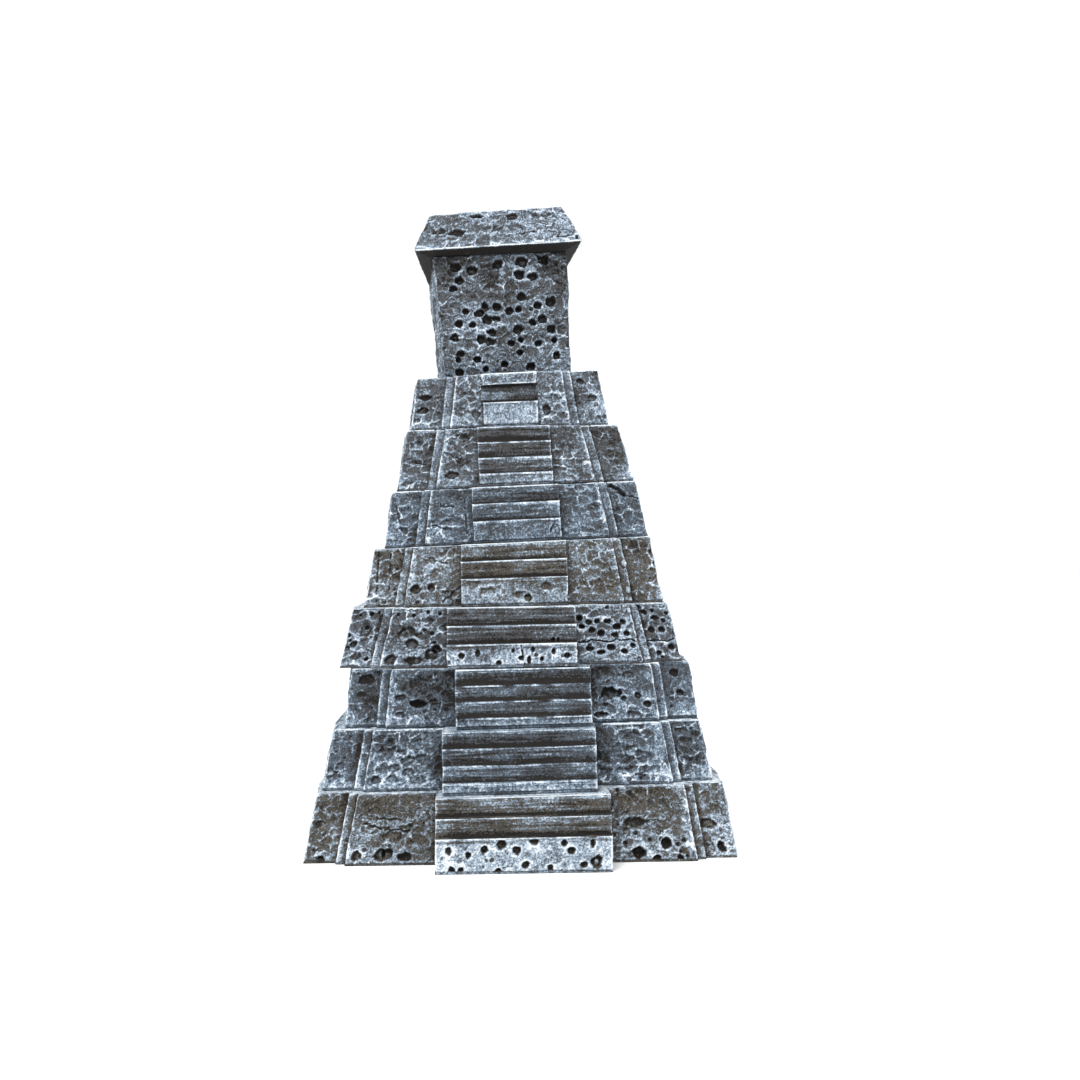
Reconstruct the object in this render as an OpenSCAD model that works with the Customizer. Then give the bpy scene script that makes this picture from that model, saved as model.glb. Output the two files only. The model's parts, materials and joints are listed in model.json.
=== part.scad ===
// Stepped pyramid for the tabletop: eight cast tiers, a shrine block and its roof slab.
// One stair climbs the front of the tiers. Their other walls are panelled too, less deeply on the sides.
// Every casting stands loose on the one below and lifts straight off it.
// The castings are a little uneven, so the stack leans to its left as it climbs.

/* [Pyramid] */
// Width of the bottom tier at the ground, from corner to corner of its front
base_width = 100; // [90:1:130]
// Width of the top tier at its underside, from corner to corner of its front
crown_width = 50; // [46:1:70]
// Nominal thickness of a tier
tier_height = 14.2; // [13:0.1:18]
// How far a wall leans in over one tier
batter = 2.5; // [1.5:0.1:3.5]

/* [Wall relief] */
// Width of the set-back panel at each corner
corner_panel = 7.5; // [6:0.1:8.5]
// Width of the narrow strip beside the corner panel
strip_width = 2.2; // [1.5:0.1:3]
// How far the strip stands out from the corner panel
strip_step = 1.2; // [0.5:0.1:1.5]
// How far the main panel stands out from the strip
panel_step = 1.5; // [0.5:0.1:1.7]
// Share of those two steps that the side walls have
side_relief = 0.35; // [0.2:0.05:1]

/* [Stairs] */
// Share of the main panel that the stair covers on the lower tiers
stair_share = 0.49; // [0.4:0.01:0.6]
// How much that share drops with each of the upper tiers
stair_share_drop = 0.01; // [0:0.001:0.015]
// Height of the upper steps; the lowest step takes what is left
step_rise = 4.2; // [3:0.1:4.5]
// How much further than its wall the foot of the stair reaches out past its head
stair_run = 0.6; // [0.2:0.1:1.5]
// How deep the top tier's stair is sunk into its panel
sunk_depth = 1.2; // [0.5:0.1:2]
// Height of the plain lintel over the sunk stair
lintel_height = 3; // [2:0.1:4]

/* [Shrine] */
// Width of the shrine block at its foot
shrine_foot = 33; // [28:0.2:38]
// Width of the shrine block under the roof
shrine_head = 35.2; // [30:0.2:38]
// Height of the shrine block
shrine_height = 31.8; // [25:0.1:40]
// Width of the roof slab at its eaves
roof_eaves = 43.6; // [39:0.1:50]
// Width of the flat top of the roof slab
roof_crown = 35; // [28:0.1:38]
// How much the roof slab draws in on each side from its front to its back
roof_taper = 2.8; // [0:0.1:3]
// Thickness of the roof slab
roof_height = 11.4; // [8:0.1:15]
// Height of the bevel under the eaves
eaves_bevel = 1.1; // [0.8:0.1:3]

/* [Hidden] */

// Places of the pieces in the lists below, counted from the bottom of the stack.
top_tier = 7;
shrine_place = 8;
roof_place = 9;

// How each tier came out of its mould, in mm against the nominal sizes.
width_off = [0, -0.6, -0.7, 1.6, 0.6, 0.4, 1, 0.1];
height_off = [2.1, -0.3, -0.5, -0.3, 0.9, -0.4, 0.7, -0.3];
batter_off = [0.3, 0, -0.8, 0.6, 0.1, -0.2, 0.5, -0.5];
// Angle between the top and the underside of each casting, rising to the right.
wedge = [1, 0.2, -0.2, -0.1, 1.8, 0.1, -0.8, 1.8, 0.5, 0.7];
// How far to the right each piece was set down, and how far it was turned.
shift = [0, -0.6, 0.6, -1.1, -0.5, 0.4, 0.8, -0.5, -0.7, -0.2];
turn = [0, 0, 0.1, -0.7, -0.3, 0, 0.1, 1.9, 4.4, 0.6];

// How far the foot of each tier's stair stands out from the main panel, and its number of treads.
// The top tier's stair has no treads: it is sunk into the panel over one low step.
stair_reach = [8, 7, 5.8, 4.1, 3.3, 2.6, 2, 0.4];
treads = [2, 3, 3, 2, 2, 2, 3, 0];
// The low step under the sunk stair is this much short of half the tier.
sunk_step_drop = 0.6;

// Walls are drawn this much too tall, and then trimmed along the tilted top.
trim = 4;
// Air left between a casting and the one on it, about what dust and paint keep open.
joint_gap = 0.02;
// Wider than any piece.
span = 200;

warm_grey = "#5b5650";
blue_grey = "#53606c";
mid_grey = "#5c6265";

function half_width(i) = (base_width + (crown_width - base_width) * i / top_tier) / 2 + width_off[i];
function lean_in(i) = batter + batter_off[i];
function height(i) = i == roof_place ? roof_height
                   : i == shrine_place ? shrine_height
                   : tier_height + height_off[i];

// Tilt of the face that piece i stands on, and the point where the stack's middle line meets it.
function tilt(i) = i == 0 ? 0 : tilt(i - 1) + wedge[i - 1];
function seat(i) = i == 0 ? [0, 0, 0]
                 : seat(i - 1) + height(i - 1) * [-sin(tilt(i - 1)), 0, cos(tilt(i - 1))];

// Upper steps keep their rise unless they would leave no foot under the lowest one.
function stair_pitch(tall, count) = min(step_rise, tall / (count + 0.8));

// A prism along Y whose two long walls lean in by lean over its height.
module leaning_prism(half, lean, tall) {
    rotate([90, 0, 0])
        linear_extrude(span, center = true)
            polygon([[-half, 0], [half, 0], [half - lean, tall], [lean - half, tall]]);
}

// A block with a flat foot whose four walls lean in by lean over its height.
module leaning_block(half_x, half_y, lean, tall) {
    intersection() {
        leaning_prism(half_x, lean, tall);
        rotate([0, 0, 90]) leaning_prism(half_y, lean, tall);
    }
}

// The part of a tier that carries a panel half_along to each side of the middle of every wall,
// front and side being how far out the front and side faces stand. The back is like the front.
module panelled_block(half_along, front, side, lean, tall) {
    leaning_block(half_along, front, lean, tall);
    leaning_block(side, half_along, lean, tall);
}

// The stair on the front wall, running back to the middle of the tier.
// foot and head are how far out the lowest and the highest riser stand.
module stair(half, foot, head, tall, count) {
    pitch = stair_pitch(tall, count);
    nose = [for (k = [0 : count]) foot + (head - foot) * k / count];
    level = [for (k = [0 : count]) tall - (count - k + 1) * pitch];
    outline = concat(
        [[0, 0], [-foot, 0]],
        [for (k = [1 : count]) each [[-nose[k - 1], level[k]], [-nose[k], level[k]]]],
        [[-head, tall + trim], [0, tall + trim]]);
    rotate([90, 0, 90]) linear_extrude(2 * half, center = true) polygon(outline);
}

// The low step under the sunk stair, running back to the middle of the tier.
module low_step(half, foot, high) {
    translate([-half, -foot, 0]) cube([2 * half, foot, high]);
}

// The shallow recess of the sunk stair, cut into the front wall.
module recess(half, face, low, high) {
    translate([-half, -face - span, low]) cube([2 * half, span, high - low]);
}

module tier(i) {
    tall = height(i);
    slope = lean_in(i) / tall;
    raw = tall + trim;
    edge = half_width(i);
    strip_edge = edge - corner_panel;
    panel_edge = strip_edge - strip_width;
    strip_face = edge + strip_step;
    panel_face = strip_face + panel_step;
    stair_half = panel_edge * (stair_share - stair_share_drop * max(0, i - 3));
    foot = panel_face + stair_reach[i];
    sunk = treads[i] == 0;
    step_top = tall / 2 - sunk_step_drop;
    lintel = tall - lintel_height;
    difference() {
        union() {
            leaning_block(edge, edge, slope * raw, raw);
            panelled_block(strip_edge, strip_face, edge + side_relief * strip_step, slope * raw, raw);
            panelled_block(panel_edge, panel_face, edge + side_relief * (strip_step + panel_step),
                           slope * raw, raw);
            if (sunk)
                low_step(stair_half, foot, step_top);
            else
                stair(stair_half, foot, foot - lean_in(i) - stair_run, tall, treads[i]);
        }
        if (sunk)
            recess(stair_half, panel_face - slope * lintel - sunk_depth, step_top, lintel);
    }
}

module shrine() {
    spread = (shrine_foot - shrine_head) / 2 / shrine_height;
    raw = shrine_height + trim;
    leaning_block(shrine_foot / 2, shrine_foot / 2, spread * raw, raw);
}

module roof() {
    upper = roof_height - eaves_bevel;
    slope = (roof_eaves - roof_crown) / 2 / upper;
    raw = upper + trim;
    difference() {
        union() {
            leaning_block(shrine_head / 2, shrine_head / 2, (shrine_head - roof_eaves) / 2, eaves_bevel);
            translate([0, 0, eaves_bevel])
                leaning_block(roof_eaves / 2, roof_eaves / 2, slope * raw, raw);
        }
        for (side = [-1, 1])
            translate([side * roof_eaves / 2, -roof_eaves / 2, eaves_bevel])
                rotate([0, -side * atan(slope), side * atan(roof_taper / roof_eaves)])
                    translate([side > 0 ? 0 : -span, -span / 2, -span / 2]) cube(span);
    }
}

// Stands a piece on the one below as it was set down, and trims its tilted top.
// The topmost piece carries nothing, so it keeps its full height.
module cast_piece(i) {
    gap = i == roof_place ? 0 : joint_gap;
    translate(seat(i))
        rotate([0, -tilt(i), 0])
            difference() {
                translate([shift[i], 0, 0]) rotate([0, 0, turn[i]]) children();
                translate([0, 0, height(i) - gap])
                    rotate([0, -wedge[i], 0])
                        translate([-span / 2, -span / 2, 0]) cube(span);
            }
}

module tier_1() { color(warm_grey) cast_piece(0) tier(0); }
module tier_2() { color(blue_grey) cast_piece(1) tier(1); }
module tier_3() { color(blue_grey) cast_piece(2) tier(2); }
module tier_4() { color(mid_grey) cast_piece(3) tier(3); }
module tier_5() { color(warm_grey) cast_piece(4) tier(4); }
module tier_6() { color(blue_grey) cast_piece(5) tier(5); }
module tier_7() { color(mid_grey) cast_piece(6) tier(6); }
module tier_8() { color(mid_grey) cast_piece(7) tier(7); }
module shrine_block() { color(mid_grey) cast_piece(shrine_place) shrine(); }
module roof_slab() { color(mid_grey) cast_piece(roof_place) roof(); }

tier_1();
tier_2();
tier_3();
tier_4();
tier_5();
tier_6();
tier_7();
tier_8();
shrine_block();
roof_slab();
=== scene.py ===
"""A tabletop stepped pyramid of ten loose castings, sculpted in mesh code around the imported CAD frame.

Each casting is one closed skin: a grid that runs round its walls in columns and up them in rows,
and closes over its flat faces in rings. Sizes are in millimetres until a mesh is made.
"""
import json
import math

import bpy
import numpy as np
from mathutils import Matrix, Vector


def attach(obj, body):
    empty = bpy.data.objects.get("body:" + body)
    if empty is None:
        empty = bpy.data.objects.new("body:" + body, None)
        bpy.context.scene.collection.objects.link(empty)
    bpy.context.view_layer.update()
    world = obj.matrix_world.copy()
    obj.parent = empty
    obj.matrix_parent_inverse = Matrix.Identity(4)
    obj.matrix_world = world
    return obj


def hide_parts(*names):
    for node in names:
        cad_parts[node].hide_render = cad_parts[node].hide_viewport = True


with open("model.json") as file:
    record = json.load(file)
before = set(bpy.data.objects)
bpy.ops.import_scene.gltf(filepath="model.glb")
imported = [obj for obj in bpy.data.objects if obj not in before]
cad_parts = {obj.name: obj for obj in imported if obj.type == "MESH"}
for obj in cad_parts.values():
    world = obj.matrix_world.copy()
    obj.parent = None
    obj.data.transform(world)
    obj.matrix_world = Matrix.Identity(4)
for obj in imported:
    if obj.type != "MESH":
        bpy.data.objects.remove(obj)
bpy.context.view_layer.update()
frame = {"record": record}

MM = 0.001

# ---------------------------------------------------------------- dimensions
# The same driving sizes as the CAD model has.
BASE_WIDTH, CROWN_WIDTH = 100.0, 50.0
TIER_HEIGHT, BATTER = 14.2, 2.5
CORNER_PANEL, STRIP_WIDTH = 7.5, 2.2
STRIP_STEP, PANEL_STEP, SIDE_RELIEF = 1.2, 1.5, 0.35
STAIR_SHARE, STAIR_SHARE_DROP, STEP_RISE, STAIR_RUN = 0.49, 0.01, 4.2, 0.6
SUNK_DEPTH, LINTEL_HEIGHT, SUNK_STEP_DROP = 1.2, 3.0, 0.6
SHRINE_FOOT, SHRINE_HEAD, SHRINE_HEIGHT = 33.0, 35.2, 31.8
ROOF_EAVES, ROOF_CROWN, ROOF_TAPER = 43.6, 35.0, 2.8
ROOF_HEIGHT, EAVES_BEVEL = 11.4, 1.1
JOINT_GAP = 0.02

NAMES = [f"tier_{n}" for n in range(1, 9)] + ["shrine_block", "roof_slab"]
TOP_TIER, SHRINE, ROOF = 7, 8, 9
WIDTH_OFF = [0, -0.6, -0.7, 1.6, 0.6, 0.4, 1, 0.1]
HEIGHT_OFF = [2.1, -0.3, -0.5, -0.3, 0.9, -0.4, 0.7, -0.3]
BATTER_OFF = [0.3, 0, -0.8, 0.6, 0.1, -0.2, 0.5, -0.5]
WEDGE = [1, 0.2, -0.2, -0.1, 1.8, 0.1, -0.8, 1.8, 0.5, 0.7]
SHIFT = [0, -0.6, 0.6, -1.1, -0.5, 0.4, 0.8, -0.5, -0.7, -0.2]
TURN = [0, 0, 0.1, -0.7, -0.3, 0, 0.1, 1.9, 4.4, 0.6]
STAIR_REACH = [8, 7, 5.8, 4.1, 3.3, 2.6, 2, 0.4]
TREADS = [2, 3, 3, 2, 2, 2, 3, 0]


def half_width(i):
    return (BASE_WIDTH + (CROWN_WIDTH - BASE_WIDTH) * i / TOP_TIER) / 2 + WIDTH_OFF[i]


def height(i):
    return ROOF_HEIGHT if i == ROOF else SHRINE_HEIGHT if i == SHRINE else TIER_HEIGHT + HEIGHT_OFF[i]


# ---------------------------------------------------------------- noise on the unrolled walls
CELLS = 256


def ease(x):
    x = np.clip(x, 0, 1)
    return x * x * (3 - 2 * x)


def ripple(x, y, seed):
    """Gradient noise from about -1 to 1, with bumps one unit wide."""
    angle = np.random.default_rng(seed).uniform(0, 2 * np.pi, (CELLS, CELLS))
    x0, y0 = np.floor(x).astype(int), np.floor(y).astype(int)
    total = np.zeros(np.broadcast(x, y).shape)
    for dx in (0, 1):
        for dy in (0, 1):
            ax, ay = x - x0 - dx, y - y0 - dy
            turn = angle[(x0 + dx) % CELLS, (y0 + dy) % CELLS]
            slope = np.cos(turn) * ax + np.sin(turn) * ay
            total += ease(1 - abs(ax)) * ease(1 - abs(ay)) * slope
    return total * 1.6


def rough(x, y, seed, octaves=3):
    """Ripples on ripples, each half as wide and half as high."""
    return sum(ripple(x * 2**k, y * 2**k, seed + k) / 2**k for k in range(octaves))


def scatter(x, y, seed):
    """For each point: distance to the nearest of the scattered centres and to the next one,
    that centre's own random number, and how far above it the point lies."""
    rng = np.random.default_rng(seed)
    jitter = rng.uniform(0.1, 0.9, (2, CELLS, CELLS))
    own = rng.uniform(0, 1, (CELLS, CELLS))
    x0, y0 = np.floor(x).astype(int), np.floor(y).astype(int)
    near = np.full(x.shape, 9.0)
    second, number, above = near.copy(), np.zeros(x.shape), np.zeros(x.shape)
    for dx in (-1, 0, 1):
        for dy in (-1, 0, 1):
            i, j = (x0 + dx) % CELLS, (y0 + dy) % CELLS
            off_x = x - (x0 + dx + jitter[0, i, j])
            off_y = y - (y0 + dy + jitter[1, i, j])
            away = np.hypot(off_x, off_y)
            closer = away < near
            second = np.where(closer, near, np.minimum(second, away))
            number = np.where(closer, own[i, j], number)
            above = np.where(closer, off_y, above)
            near = np.where(closer, away, near)
    return near, second, number, above


# ---------------------------------------------------------------- grid of a casting
FRONT, LEFT = 0, 3
CORNER_L, STRIP_L, PANEL_L, STAIR, PANEL_R, STRIP_R, CORNER_R, EDGE = range(8)
FACES_AT_MOST = 192000
ROW_PITCH = 0.25
FRONT_SHARE = 1.8  # columns are this much closer together on the front
CAP_RINGS = [0.25, 0.5, 0.8, 1.2, 1.8, 2.7, 4.2, 6.5]
SKIN = 0.25  # the walls are drawn this far inside the CAD faces, so that relief can stand out
SHALLOW = 0.65  # dents no deeper than this have soft rims

# How much paler or darker each kind of place is painted. Arrises, rims, strips and nosings
# take more of the dry-brushed paint, and ledge tops take painted light over it; coves get painted
# shade, each casting's foot painted shade over its unbrushed ground, and deep pits their dark
# ground with painted shade over it.
PIT_GROUND_AND_SHADE, SEAM_SHADE_AND_GROUND, COVE_SHADE = 0.4, 1.2, 0.4
PALE_ARRIS, PALE_RIM, LEDGE_PAINT_AND_LIGHT, PALE_STRIP, PALE_NOSING = 0.85, 0.4, 0.8, 0.2, 0.75


def blur_rows(field, passes):
    for _ in range(passes):
        padded = np.concatenate([field[..., :1, :], field, field[..., -1:, :]], axis=-2)
        field = (padded[..., :-2, :] + 2 * field + padded[..., 2:, :]) / 4
    return field


def blur_columns(field, passes):
    for _ in range(passes):
        field = (np.roll(field, 1, -1) + 2 * field + np.roll(field, -1, -1)) / 4
    return field


def blur(field, passes):
    return blur_columns(blur_rows(field, passes), passes)


def resample(points, pitch):
    """Walks a section's corner points in equal short steps. Gives out, up and the way walked."""
    points = np.array(points, float)
    walked = np.concatenate([[0], np.cumsum(np.hypot(*np.diff(points, axis=0).T))])
    steps = np.linspace(0, walked[-1], max(8, round(walked[-1] / pitch)) + 1)
    return np.interp(steps, walked, points[:, 0]), np.interp(steps, walked, points[:, 1]), steps


def blend(a, b, f):
    return a + (b - a) * f


def span_length(span):
    """Greatest length, over the rows, of a stretch of wall between two upright lines."""
    _, start, end = span
    return np.hypot(end[0] - start[0], end[1] - start[1]).max()


class Casting:
    """The grid of one piece: points[axis, row, column], and what each row and column lies on."""

    def __init__(self, place, walls, inner_rings):
        self.place = place
        self.tall = height(place)
        rows = len(walls[FRONT][0][1][0]) + 2 * len(inner_rings)
        lengths = [sum(map(span_length, spans)) for spans in walls]
        others = sum(lengths) - lengths[FRONT]
        pitch = (lengths[FRONT] + others / FRONT_SHARE) / (FACES_AT_MOST / 2 / rows)
        points, ups, panel, side = [], [], [], []
        for quarter, spans in enumerate(walls):
            step = pitch if quarter == FRONT else pitch * FRONT_SHARE
            cos_q, sin_q = [(1, 0), (0, 1), (-1, 0), (0, -1)][quarter]
            for kind, start, end in spans:
                count = max(2, math.ceil(span_length((kind, start, end)) / step))
                f = np.arange(count) / count
                u, d, z, up = (blend(a[:, None], b[:, None], f[None, :]) for a, b in zip(start, end))
                points.append(np.stack([cos_q * u + sin_q * d, sin_q * u - cos_q * d, z]))
                ups.append(up)
                panel.append(np.full(count, kind))
                side.append(np.full(count, quarter))
        self.points = np.concatenate(points, axis=2)
        self.up = np.concatenate(ups, axis=1)
        self.panel, self.side = np.concatenate(panel), np.concatenate(side)
        step = np.roll(self.points, -1, 2) - self.points
        middle = self.points.shape[1] // 2
        self.along = np.cumsum(np.hypot(step[0, middle], step[1, middle]))
        self.add_rings(inner_rings)
        self.s, self.v = self.along[None, :] + 0 * self.up, self.up
        self.share = np.clip(self.up / self.tall, 0, 1)

    def add_rings(self, inner_rings):
        """Closes the grid over the underside and the top, ring inside ring."""
        foot, head = self.points[:, :1], self.points[:, -1:]
        reach_foot, reach_head = np.hypot(foot[0], foot[1]), np.hypot(head[0], head[1])
        below, above = [], []
        for inset in inner_rings:
            for rim, reach, kept in ((foot, reach_foot, below), (head, reach_head, above)):
                ring = rim.copy()
                ring[:2] *= np.clip(1 - inset / reach, 0.02, 1)
                kept.append(ring)
        self.points = np.concatenate(below[::-1] + [self.points] + above, axis=1)
        n = len(inner_rings)
        insets = np.array(inner_rings)[:, None]
        self.up = np.concatenate([self.up[:1] - insets[::-1], self.up, self.up[-1:] + insets])
        self.wall = np.zeros(len(self.up), bool)
        self.wall[n:-n] = True
        self.ring_inset = np.concatenate([insets[::-1, 0], np.zeros(self.wall.sum()), insets[:, 0]])

    def normals(self):
        along = np.roll(self.points, -1, 2) - np.roll(self.points, 1, 2)
        up = np.gradient(self.points, axis=1)
        n = np.cross(along, up, axis=0)
        return n / np.maximum(np.linalg.norm(n, axis=0), 1e-9)

    def near_arris(self, reach):
        """1 on the upright arrises, fading out over the reach: the corners, and the end of every
        step between panels that stands out."""
        edge = self.panel == EDGE
        starts = np.flatnonzero(edge & ~np.roll(edge, 1))
        ends = np.flatnonzero(edge & ~np.roll(edge, -1))
        arrises = list(self.along[np.flatnonzero(np.diff(self.side, prepend=-1))])
        for start, end in zip(starts, ends):
            middle = self.along[self.side == self.side[start]].mean()
            first, last = self.along[start], self.along[end + 1]
            arrises.append(first if abs(first - middle) <= abs(last - middle) else last)
        return sum(np.exp(-((self.along - place) / reach) ** 2) for place in arrises)[None, :]

    def spot(self, panel, across, up):
        """How far each grid point of the front lies from a spot on one of its panels."""
        at = (self.side == FRONT) & (self.panel == panel)
        start = self.along[at][0]
        centre = start + across * (self.along[at][-1] - start)
        return self.along[None, :] - centre, self.up - up * self.up[self.wall].max()


def stair_section(i):
    """Corner points (out, up) of a tier's stair, from its foot to its head."""
    tall = height(i)
    panel_face = half_width(i) + STRIP_STEP + PANEL_STEP
    lean = BATTER + BATTER_OFF[i]
    foot = panel_face + STAIR_REACH[i]
    if not TREADS[i]:
        low, high = tall / 2 - SUNK_STEP_DROP, tall - LINTEL_HEIGHT
        recess = panel_face - lean / tall * high - SUNK_DEPTH
        return [(foot, 0), (foot, low), (recess, low), (recess, high),
                (panel_face - lean / tall * high, high), (panel_face - lean, tall)]
    pitch = min(STEP_RISE, tall / (TREADS[i] + 0.8))
    tread = (lean + STAIR_RUN) / TREADS[i]
    points = [(foot, 0)]
    for k in range(TREADS[i]):
        level = tall - (TREADS[i] - k) * pitch
        points += [(foot - k * tread, level), (foot - (k + 1) * tread, level)]
    return points + [(foot - lean - STAIR_RUN, tall)]


def stair_bands(i):
    """Levels, as walked up a tier's stair, of its nosings and of the coves behind them."""
    points = np.array(stair_section(i), float)
    runs = np.diff(points, axis=0)
    walked = np.cumsum(np.hypot(*runs.T))
    walked = walked[:-1] * height(i) / walked[-1]
    bend = runs[:-1, 0] * runs[1:, 1] - runs[:-1, 1] * runs[1:, 0]
    return walked[bend > 0], walked[bend < 0]


def tier_casting(i):
    tall = height(i)
    edge, slope = half_width(i), (BATTER + BATTER_OFF[i]) / tall
    stair_out, stair_z, walked = resample(stair_section(i), ROW_PITCH)
    even = np.linspace(0, tall, len(stair_z))
    z = blur_rows(stair_z[:, None], 12)[:, 0]
    z = 0.85 * (z - z[0]) * tall / (z[-1] - z[0]) + 0.15 * even
    strip_edge = edge - CORNER_PANEL
    panel_edge = strip_edge - STRIP_WIDTH
    stair_half = np.full(len(z), panel_edge * (STAIR_SHARE - STAIR_SHARE_DROP * max(0, i - 3)))
    walked = walked * tall / walked[-1]
    kinds = [CORNER_L, EDGE, STRIP_L, EDGE, PANEL_L, EDGE]
    right_kinds = [CORNER_R, EDGE, STRIP_R, EDGE, PANEL_R, EDGE]

    def wall(relief, with_stair):
        low, middle, high = (
            edge + relief * step - slope * z for step in (0, STRIP_STEP, STRIP_STEP + PANEL_STEP))
        stations = [
            (edge - slope * z, low, z, z),
            (strip_edge - slope * z, low, z, z), (strip_edge - slope * z, middle, z, z),
            (panel_edge - slope * z, middle, z, z), (panel_edge - slope * z, high, z, z),
        ]
        if with_stair:
            stations += [(stair_half, high, z, z), (stair_half, stair_out, stair_z, walked)]
        count = len(stations) - 1
        left = [(-u, d, z, v) for u, d, z, v in stations]
        spans = [(kinds[k], left[k], left[k + 1]) for k in range(count)]
        spans.append((STAIR if with_stair else PANEL_L, left[-1], stations[-1]))
        return spans + [(right_kinds[k], stations[k + 1], stations[k]) for k in reversed(range(count))]

    flank = wall(SIDE_RELIEF, False)
    return Casting(i, [wall(1, True), flank, wall(1, False), flank], CAP_RINGS)


def plain_casting(place, section, inner_rings):
    """A casting with four plain walls, from its section (out, up)."""
    out, z, walked = resample(section, ROW_PITCH)
    wall = [(PANEL_L, (-out, out, z, walked), (out, out, z, walked))]
    return Casting(place, [wall] * 4, inner_rings)


# ---------------------------------------------------------------- sculpting
def stone(cast, seed, scoop, size, ledge, pit):
    """Relief of a stone-textured wall: scoops that meet in sharp ridges, broken ledges,
    small pits in patches, and an uneven skin. Also gives how the paint takes to it."""
    s, v = cast.s, cast.v
    bend_s, bend_v = rough(s / 3, v / 3, seed, 3), rough(s / 3, v / 3, seed + 5, 3)
    patches = ease(0.6 + 1.2 * ripple(s / 10, v / 7, seed + 11))
    near, second, number, above = scatter(
        s / size + 0.3 * bend_s, v / (0.75 * size) + 0.3 * bend_v, seed + 20)
    bowl = patches * (0.4 + 0.6 * number) * np.clip(1 - (near / 0.8) ** 2, 0, 1) * (1 + 0.6 * above)
    broken = ease(0.4 + 1.4 * ripple(s / 2.2, v / 1.9, seed + 25))
    ridge = np.exp(-((second - near) / 0.14) ** 2) * broken
    ridge *= 0.35 + 0.65 * patches
    relief = 0.12 * ridge - scoop * bowl
    shelf = 1.8 * rough((s + bend_s) / 7, (v + bend_v) / 4, seed + 30, 2) + v / 6
    step = shelf - np.floor(shelf)
    relief += ledge * (1.15 - patches) * (ease(step / 0.08) - step)
    near, _, number, above = scatter(s / 1.9, v / 1.7, seed + 40)
    holes = ease((0.24 + 0.5 * number - near) / 0.12) * (number < 0.3)
    relief -= pit * holes * ease(0.4 + 1.2 * ripple(s / 7, v / 7, seed + 41))
    relief += 0.11 * rough(s / 1.8, v / 1.5, seed + 50, 3) + 0.15 * ripple(s / 8, v / 7, seed + 53)
    return relief, 0.75 * ridge - 0.45 * bowl


def sand(cast, seed):
    """The finest roughness that the grid can carry."""
    return np.random.default_rng(seed).normal(0, 0.022, cast.s.shape)


def joint_groove(cast):
    """The walls draw back at their foot and head, which leaves a dark line at every joint."""
    at_foot = ease(1 - cast.v / 0.8)
    at_head = ease(1 - (cast.v[cast.wall].max() - cast.v) / 0.5)
    return -0.6 * at_foot - 0.2 * at_head


def riser_lines(cast, seed, size):
    """The fine level lines that run along every riser."""
    line = 0.7 * ripple(cast.s / 30, cast.v / 0.62, seed)
    line += 0.5 * ripple(cast.s / 14, cast.v / 1.3, seed + 1)
    return size * (line - 0.2)


def carve(cast, relief, dents, seed):
    """Cuts the listed dents (panel, across, up, half width, half height, depth) into the front.
    Gives the relief, and where the deep ones are painted darker: their dark ground, with painted shade
    over it that also dulls their rims."""
    wobble = 0.3 * rough(cast.s / 1.4, cast.v / 1.4, seed, 2)
    dark = np.zeros(cast.s.shape)
    for panel, across, up, wide, high, depth in dents:
        ds, dv = cast.spot(panel, across, up)
        away = np.hypot(ds / wide, dv / high) + wobble
        rim = 0.4 if depth > SHALLOW else 0.75
        hollow = ease((1 + rim / 2 - away) / rim)
        relief = relief - depth * hollow * np.clip(1 + 0.35 * dv / high, 0.5, 1.5)
        if depth > SHALLOW:
            dark = np.maximum(dark, ease((1.5 - away) / 0.6))
    return relief, dark


def swell(cast, relief, knobs):
    """Raises the listed knobs (panel, across, up, half width, half height, height) on the front."""
    for panel, across, up, wide, high, tall in knobs:
        ds, dv = cast.spot(panel, across, up)
        relief = relief + tall * np.clip(1 - np.hypot(ds / wide, dv / high) ** 2, 0, 1)
    return relief


def slash(cast, relief, cuts, seed):
    """Cuts the listed cracks (panel, across, up, across, up, half width, depth) into the front."""
    wander = 0.5 * rough(cast.s / 2.2, cast.v / 2.2, seed, 3)
    for panel, a0, u0, a1, u1, wide, depth in cuts:
        s0, v0 = cast.spot(panel, a0, u0)
        s1, v1 = cast.spot(panel, a1, u1)
        run_s, run_v = (s0 - s1)[0, 0], (v0 - v1)[0, 0]
        f = np.clip((s0 * run_s + v0 * run_v) / max(run_s**2 + run_v**2, 1e-6), 0, 1)
        away = np.hypot(s0 - f * run_s, v0 - f * run_v + wander)
        relief = relief - depth * ease(1.2 - away / wide)
    return relief


def dab(cast, brush_light_and_shade, dabs, seed):
    """Lays the listed patches of paint (panel, across, up, half width, half height, amount)."""
    ragged = 0.5 * rough(cast.s / 3, cast.v / 3, seed, 3)
    for panel, across, up, wide, high, amount in dabs:
        ds, dv = cast.spot(panel, across, up)
        brush_light_and_shade = brush_light_and_shade + amount * ease(1.6 - np.hypot(ds / wide, dv / high) + ragged)
    return brush_light_and_shade


def sculpt(cast, relief, soften, on_caps=0.0):
    """Rounds the edges, then moves every point along its normal by the relief."""
    flat_foot, flat_head = cast.points[2].min(), cast.points[2].max()
    cast.points = blur(cast.points, soften)
    normal = cast.normals()
    upright = np.hypot(normal[0], normal[1])
    keep = np.maximum(ease(upright * 1.4 - 0.2), on_caps * (normal[2] > 0.3))
    # The outermost millimetres of a flat face are a little uneven, and the rest lies true.
    rim = 0.5 * ease(1 - cast.ring_inset / 3)[:, None] * (normal[2] > 0.5)
    moved = np.where(keep > 0.02, keep * relief, rim * np.minimum(relief, 0))
    cast.points = cast.points + normal * moved
    cast.points[2] = np.clip(cast.points[2], flat_foot, flat_head)


def lift(cast, passes):
    """How far each point stands above its surroundings, in mm: edges and ridges up, pits down."""
    return ((cast.points - blur(cast.points, passes)) * cast.normals()).sum(axis=0)


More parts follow.
